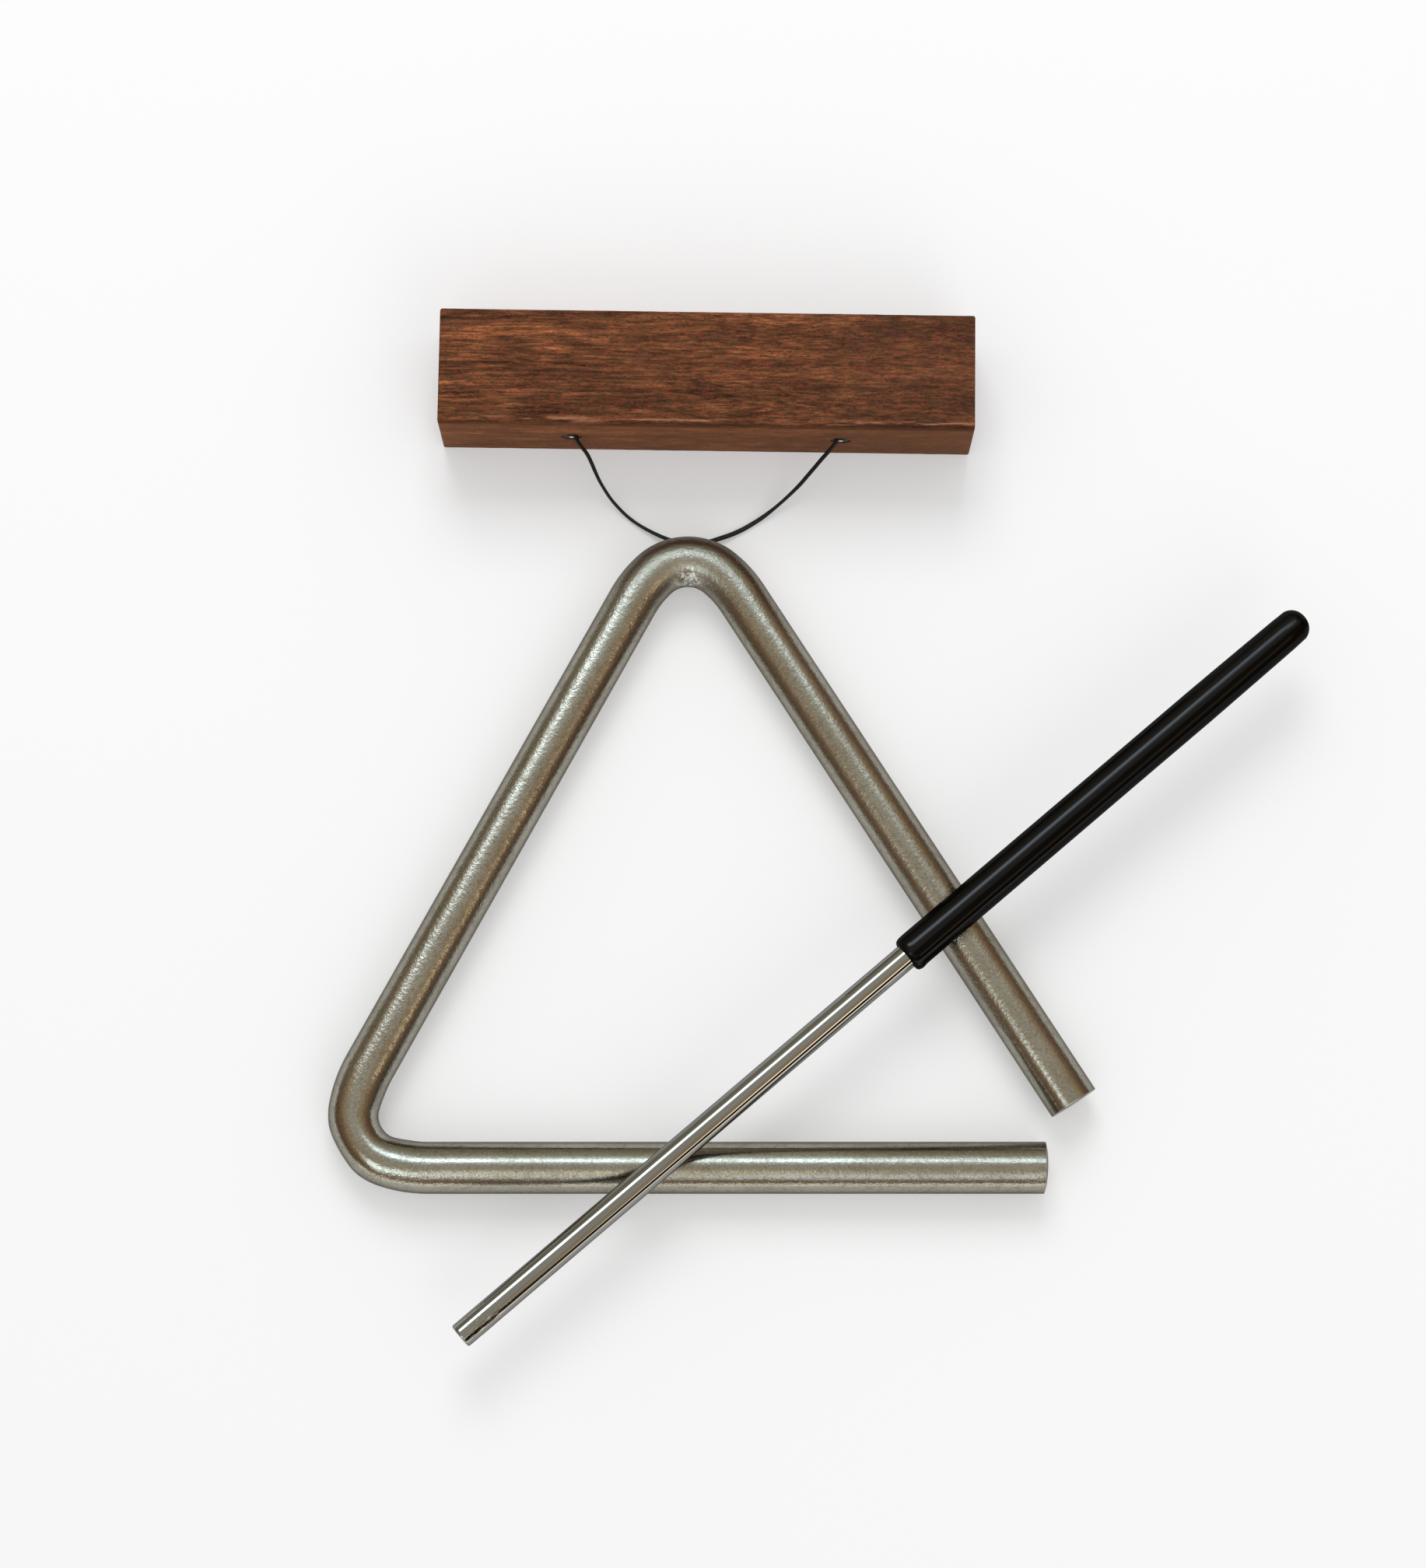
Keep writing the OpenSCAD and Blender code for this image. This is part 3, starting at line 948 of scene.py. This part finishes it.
def paintWood(pieces, facts):
    paint = newFinish(pieces, "darkHardwood", IOR=1.45, Specular_IOR_Level=0.03)
    spot = holderSpot(paint)
    x, y, z = paint.split(spot)

    def tinted(wood, amount, name):
        return paint.mix(amount, wood, facts[name])

    # the fibres run along the block, straighter and longer to its left
    up, through = facts["sway"]
    wander = paint.grain(spot, *facts["wander"]) - 0.5
    drift = paint.node("ShaderNodeCombineXYZ", {}, {"Y": wander * (up * mm), "Z": wander * (through * mm)})
    fibreSpot = paint.node("ShaderNodeVectorMath", {"operation": "ADD"}, {0: spot, 1: drift})
    leftward = paint.zone(x, facts["leftward"])
    fibre = (paint.grain(fibreSpot, *facts["longFibre"]) * leftward
             + paint.grain(fibreSpot, *facts["shortFibre"]) * (1 - leftward))
    bands = paint.grain(fibreSpot, *facts["bands"])
    tone = weigh((fibre, bands, paint.grain(spot, *facts["blotch"])), facts["toneShares"])
    spread, more = facts["toneSpread"]
    shade = (tone - 0.5) * (spread + leftward * more) + facts["toneMiddle"]
    stops = [(place, facts[name]) for place, name in facts["tones"]]
    wood = paint.node("ShaderNodeValToRGB", {"stops": stops}, {0: shade})
    share = facts["shares"]
    # painted shade darkens the block toward its right end
    wood = tinted(wood, paint.zone(x, facts["shadeRightward"]) * share["right"], "shadow")
    # open pores show as short dark dashes
    pores = paint.grain(fibreSpot, *facts["pores"])
    wood = tinted(wood, pores * share["pores"], "dark")
    # greyer mottles, then small red, olive and dark grains all over
    for name, start, full, amount, colour in facts["spots"]:
        wood = tinted(wood, paint.rise(paint.grain(spot, *facts[name]), start, full) * amount, colour)
    # the lower side is cut across the growth and shows evener wood, and the ends are darker
    half = Vector(holder["size"]) / 2 * mm
    fromLower = y + half.y
    fromFront = z - half.z
    wood = tinted(wood, paint.zone(fromLower, facts["lowerSkin"]) * share["lowerSkin"], "lowerSide")
    wood = tinted(wood, paint.zone(abs(x) - half.x, facts["endSkin"]) * share["endSkin"], "dark")
    # rubbed pale in dashes along the front edge, partly a painted highlight, and painted shade just under it
    rubbed = paint.zone(fromLower, facts["rubbedHighlightUp"]) * paint.zone(fromFront, facts["rubbedHighlightIn"])
    dashes = paint.grain(spot, *facts["dashes"])
    wood = tinted(wood, rubbed * dashes * share["rubbed"], "pale")
    under = paint.zone(fromLower, facts["shadeUnderUp"]) * paint.zone(fromFront, facts["shadeUnderIn"])
    wood = tinted(wood, under * share["under"], "dark")
    # painted shade darkens the inside of the drilled holes
    bore = (abs(x) - holder["holes"][1] * mm) ** 2 + z * z
    boreShading = (paint.rise(bore, *((d * mm) ** 2 for d in facts["boreWall"]))
              * paint.zone(y - half.y, facts["boreDepth"]) * paint.zone(fromLower, facts["boreMouth"]))
    wood = tinted(wood, boreShading, "boreShade")
    even, more = facts["roughness"]
    paint.feed(
        Base_Color=wood,
        Roughness=even + (fibre + pores) * more,
        Normal=paint.bump(weigh((fibre, pores), facts["relief"]), *facts["bump"]))


glueFinish = {
    "dark": (0.016, 0.011, 0.008),
    "rim": (0.11, 0.052, 0.029),
    # painted glint colour at the drop's tip
    "glintSpot": (0.8, 0.78, 0.68),
    "cloud": (900, 2, 0.5),
    "bump": (0.5, 0.05),
    "glintSway": 0.12,
    "glintFrom": (0.02, -0.09),  # from the block's lower face, where the drop's tip is painted pale as its glint
    "rimFrom": (1.15, 1.8),  # from the hole's middle, where the wood starts to show through
}


def paintGlue(pieces, facts):
    paint = newFinish(pieces, "hardenedGlue", Roughness=0.4, IOR=1.45, Specular_IOR_Level=0.08)
    spot = holderSpot(paint)
    x, y, z = paint.split(spot)
    cloud = paint.noise(spot, *facts["cloud"])
    fromLower = y + holder["size"][1] / 2 * mm
    # a painted glint: the drop's tip is painted pale
    glintSpot = paint.zone(fromLower + cloud * (facts["glintSway"] * mm), facts["glintFrom"])
    out = (abs(x) - holder["holes"][1] * mm) ** 2 + z * z
    clear = paint.rise(out, *((d * mm) ** 2 for d in facts["rimFrom"]))
    body = paint.mix(clear, facts["dark"], facts["rim"])
    paint.feed(
        Base_Color=paint.mix(glintSpot, body, facts["glintSpot"]),
        Normal=paint.bump(cloud, *facts["bump"]))


cordFinish = {
    "dark": (0.004, 0.0036, 0.0032),
    "light": (0.016, 0.014, 0.012),
    "lay": (6, 1.6),  # strands round the cord, and how they climb
    "fuzz": ((18, 9, 1), (0, 0, 0), 3, 0.6),
    "roughness": (0.38, 0.2),
    "bump": (0.7, 0.03),
    # how much the strands and the fuzz count
    "shares": (0.5, 0.4),
    "relief": (0.7, 0.3),
}


def paintCord(pieces, facts):
    paint = newFinish(pieces, "waxedCord", Sheen_Weight=0.05, Sheen_Roughness=0.5,
                      Specular_IOR_Level=0.25)
    chart = paint.node("ShaderNodeUVMap", {"uv_map": "alongCord"})
    u, v = paint.split(chart)[:2]
    # fine strands laid round the cord
    strandCount, climb = facts["lay"]
    wave = (u * strandCount + v * climb) * (2 * pi)
    strands = wave.math("SINE", wave) * 0.5 + 0.5
    fuzz = paint.grain(chart, *facts["fuzz"])
    even, more = facts["roughness"]
    paint.feed(
        Base_Color=paint.mix(weigh((strands, fuzz), facts["shares"]), facts["dark"], facts["light"]),
        Roughness=even + fuzz * more,
        Normal=paint.bump(weigh((strands, fuzz), facts["relief"]), *facts["bump"]))


rodFinish = {
    "bright": (0.3, 0.297, 0.282),
    "dull": (0.25, 0.238, 0.21),
    "edgeTint": (0.35, 0.35, 0.35, 1),
    "roughness": (0.02, 0.07),
    "dingRoughness": 0.2,
    "bump": (0.5, 0.012),
    "relief": (0.25, -2.0),  # lines, dings
    "shares": (0.4, 0.5),  # haze, dings
    "lines": ((26, 3600, 3600), (0, 0, 0), 3, 0.6),  # drawing lines run the whole way
    "haze": ((60, 260, 260), (0, 0, 0), 2, 0.5, 0.42, 0.7),
    "dings": (1500, 2, 0.6, 0.62, 0.7),
    "dingsTo": (14, 2),  # from the tip
}


def beaterSpot(paint):
    tip, *_, tilt = beaterAxis(beater)
    return paint.place(tuple(tip), (0, -tilt, radians(beater["angle"])))


def paintRod(pieces, facts):
    paint = newFinish(pieces, "brightDrawnSteel", Metallic=1.0, Specular_Tint=facts["edgeTint"])
    spot = beaterSpot(paint)
    lines = paint.grain(spot, *facts["lines"])
    haze = paint.grain(spot, *facts["haze"])
    nearTip = paint.zone(paint.split(spot)[0], facts["dingsTo"])
    dings = paint.noise(spot, *facts["dings"]) * nearTip
    smooth, rough = facts["roughness"]
    paint.feed(
        Base_Color=paint.mix(weigh((haze, dings), facts["shares"]), facts["bright"], facts["dull"]),
        Roughness=(smooth + (rough - smooth) * weigh((haze, lines), (0.5, 0.5))
                   + dings * facts["dingRoughness"]),
        Normal=paint.bump(weigh((lines, dings), facts["relief"]), *facts["bump"]))


gripFinish = {
    "dark": (0.0014, 0.0011, 0.0008),
    "dusty": (0.006, 0.0054, 0.005),
    "bump": (0.6, 0.22),
    "relief": (0.9, 0.06),  # drips, skin
    "shares": (0.5, 0.2),  # dust, drips
    "drips": ((55, 180, 180), (0, 0, 0), 2, 0.45),
    "skin": (1700, 2, 0.5),
    "dust": (3800, 1, 0.5, 0.66, 0.74),
    "dustLoss": 0.1,  # of the gloss
    "gloss": (0.54, 0.13),  # where it faces the eye, and toward its edge
    "glossFades": (0.06, 0.45),
    # its lower side was handled dull, between these shares of its radius
    "handled": ((0.08, 0.2), (0.62, 0.46)),
    "handledLoss": 0.75,
}


def paintGrip(pieces, facts):
    paint = newFinish(pieces, "dippedVinyl", Specular_IOR_Level=0.0, Roughness=0.5,
                      Coat_IOR=1.45, Coat_Roughness=0.13)
    spot = beaterSpot(paint)
    drips = paint.grain(spot, *facts["drips"])
    skin = paint.noise(spot, *facts["skin"])
    dust = paint.noise(spot, *facts["dust"])
    facing = paint.node("ShaderNodeLayerWeight", {}, {"Blend": 0.5}, out="Facing")
    lower = paint.split(spot)[1] * (-2 / (beater["gripDiameter"] * mm))
    start, stop = facts["handled"]
    handled = paint.rise(lower, *start) * paint.rise(lower, *stop)
    gloss = paint.rise(facing, *facts["glossFades"], *facts["gloss"]) - dust * facts["dustLoss"]
    paint.feed(
        Base_Color=paint.mix(weigh((dust, drips), facts["shares"]), facts["dark"], facts["dusty"]),
        Coat_Weight=gloss * (1 - handled * facts["handledLoss"]),
        Normal=paint.bump(weigh((drips, skin), facts["relief"]), *facts["bump"]))


paintBar([barPiece], barFinish)
paintWood([holderPiece], woodFinish)
paintGlue([bpy.data.objects[name] for name in ("glueLeft", "glueRight")], glueFinish)
paintCord([cord], cordFinish)
paintRod([rodPiece], rodFinish)
paintGrip([gripPiece], gripFinish)
print("finishes laid on")

# the floor
paperFloor = {
    "size": 12,  # metres
    "drop": 0.02,
    "white": 0.97,
    "glow": 0.25,
}


def setFloor(facts):
    deselect()
    bpy.ops.mesh.primitive_plane_add(size=facts["size"], location=(0, 0, -facts["drop"] * mm))
    floor = bpy.context.object
    floor.name = floor.data.name = "paleFloor"
    floor.select_set(False)
    material = bpy.data.materials.new("palePaper")
    material.use_nodes = True
    tree = material.node_tree
    tree.nodes.clear()
    paint = Paint(tree)
    camera, mirrored, through = paint.outputs(
        paint.node("ShaderNodeLightPath"), "Is Camera Ray", "Is Glossy Ray", "Is Transmission Ray")
    paper = paint.node("ShaderNodeBsdfDiffuse", {}, {"Color": (*(facts["white"],) * 3, 1)})
    glow = paint.node("ShaderNodeEmission", {}, {"Color": (1, 1, 1, 1), "Strength": 1.0})
    factor = (camera + mirrored + through).atMost(1.0) * facts["glow"]
    both = paint.node("ShaderNodeMixShader", {}, {0: factor, 1: paper, 2: glow})
    end = tree.nodes.new("ShaderNodeOutputMaterial")
    tree.links.new(both.socket, end.inputs["Surface"])
    floor.data.materials.append(material)


# the room's light. x, y and z are a direction's parts, u and v are where it meets a ceiling one unit up,
# and a pair of numbers says where an edge starts and where it is full.
room = {
    "even": 0.66,  # the light that falls from all round
    # what shiny pieces see: a warm dim room, darker low down
    "walls": (
        (0.0, (0.17, 0.12, 0.085)), (0.35, (0.27, 0.165, 0.1)), (0.6, (0.42, 0.29, 0.185)),
        (0.79, (0.6, 0.475, 0.335)), (0.9, (0.6, 0.505, 0.38)), (0.96, (0.7, 0.65, 0.55)),
        (1.0, (0.63, 0.61, 0.56))),
    "north": (("y", 0.15, 0.8), ("z", 0.95, 0.5), ("x", 0.75, 0.1)),
    "northTint": (0.4, 0.4, 0.3),
    # the window is dimmed where a broad band crosses it
    "level": (("u", -0.16, -0.1), ("u", 0.5, 0.2)),
    "dimmed": 0.62,
    "window": (("u", -0.86, -0.76), ("u", 0.42, 0.1), ("low", 0.355, 0.415), ("high", 0.72, 0.65)),
    "windowLight": (4.0, 5.0, 6.0),
    # the other patches of light: colour, edges
    "patches": (
        ((0.78, 1.2, 1.55), (("u", -0.16, -0.1), ("u", 0.5, 0.2), ("v", 0.2, 0.45), ("v", 1.25, 0.5))),
        ((0.2, 0.23, 0.21), (("v", 0.15, 0.6), ("v", 3.0, 1.0), ("u", -1.4, -0.3), ("u", 1.2, 0.2))),
        ((1.0, 1.28, 1.45), (("u", -0.15, 0.12), ("u", 0.75, 0.3), ("v", -0.6, -0.75), ("v", -1.9, -1.35))),
        ((2.1, 2.7, 3.0), (("slope", 0.6, 0.3), ("u", -1.0, -0.6), ("u", -0.1, -0.2), ("v", -0.42, -0.58))),
        ((3.2, 2.75, 1.95), (("stripe", 0.16, 0.1), ("v", -0.44, -0.49), ("v", -1.6, -1.25))),
        ((1.75, 1.6, 1.25), (("u", -0.14, -0.06), ("u", 0.14, 0.06), ("v", -0.6, -0.5), ("v", -0.32, -0.38))),
        ((2.0, 2.05, 1.9), (("z", 0.17, 0.13), ("y", -0.57, -0.7))),
    ),
    # one dark thing low in the room
    "darkThing": (("lean", 0.11, 0.08), ("x", 0.98, 0.88), ("x", 0.3, 0.45), ("y", -0.4, -0.55)),
    "darkTint": (0.02, 0.018, 0.01),
    # name, place, size, power
    "lamps": (("softWindow", (-0.1, 0.95, 1.05), 0.7, 7.0), ("softFill", (0.5, -1.0, 0.9), 0.8, 2.45)),
}


def wayParts(paint):
    # a direction's parts, and the slanted lines that some patches follow
    x, y, z = paint.split(paint.node("ShaderNodeTexCoord", out="Generated"))
    height = z.atLeast(0.02)
    u, v = x / height, y / height
    leftOf = (u + 0.4).atMost(0.0)
    return {
        "x": x, "y": y, "z": z, "u": u, "v": v,
        "low": v + leftOf * 0.9,
        "high": v + leftOf * 0.44,
        "stripe": abs(u + v * 0.075 - 0.96),
        "slope": abs(v - u * 0.6 + 0.55),
        "lean": abs(z + x * 0.85 - 0.905),
    }


def addLamp(name, place, size, power):
    lamp = bpy.data.lights.new(name, "AREA")
    lamp.size = size
    lamp.energy = power
    stand = bpy.data.objects.new(name, lamp)
    stand.location = place
    stand.rotation_euler = (-Vector(place)).to_track_quat("-Z", "Y").to_euler()
    stand.visible_glossy = False
    bpy.context.collection.objects.link(stand)


def setLight(facts):
    world = bpy.data.worlds.new("studio")
    bpy.context.scene.world = world
    world.use_nodes = True
    tree = world.node_tree
    tree.nodes.clear()
    paint = Paint(tree)
    parts = wayParts(paint)

    def patch(edges):
        rises = [paint.rise(parts[name], start, full) for name, start, full in edges]
        return prod(rises[1:], start=rises[0])

    def add(under, amount, colour):
        lit = paint.mix(amount.atMost(1.0), (0, 0, 0), colour)
        return paint.node("ShaderNodeVectorMath", {"operation": "ADD"}, {0: under, 1: lit})

    walls = paint.node("ShaderNodeValToRGB", {"stops": facts["walls"]}, {0: parts["z"]})
    seen = paint.mix(patch(facts["north"]) * 0.75, walls, facts["northTint"])
    window = patch(facts["window"]) * (1 - patch(facts["level"]) * facts["dimmed"])
    seen = add(seen, window, facts["windowLight"])
    for colour, edges in facts["patches"]:
        seen = add(seen, patch(edges), colour)
    seen = paint.mix(patch(facts["darkThing"]), seen, facts["darkTint"])
    mirrored = paint.node("ShaderNodeLightPath", out="Is Glossy Ray")
    colour = paint.mix(mirrored, (facts["even"],) * 3, seen)
    ground = paint.node("ShaderNodeBackground", {}, {"Color": colour, "Strength": 1.0})
    end = tree.nodes.new("ShaderNodeOutputWorld")
    tree.links.new(ground.socket, end.inputs["Surface"])
    for lamp in facts["lamps"]:
        addLamp(*lamp)


setFloor(paperFloor)
setLight(room)
bpy.context.scene.view_settings.view_transform = "Standard"
print("floor and light set")
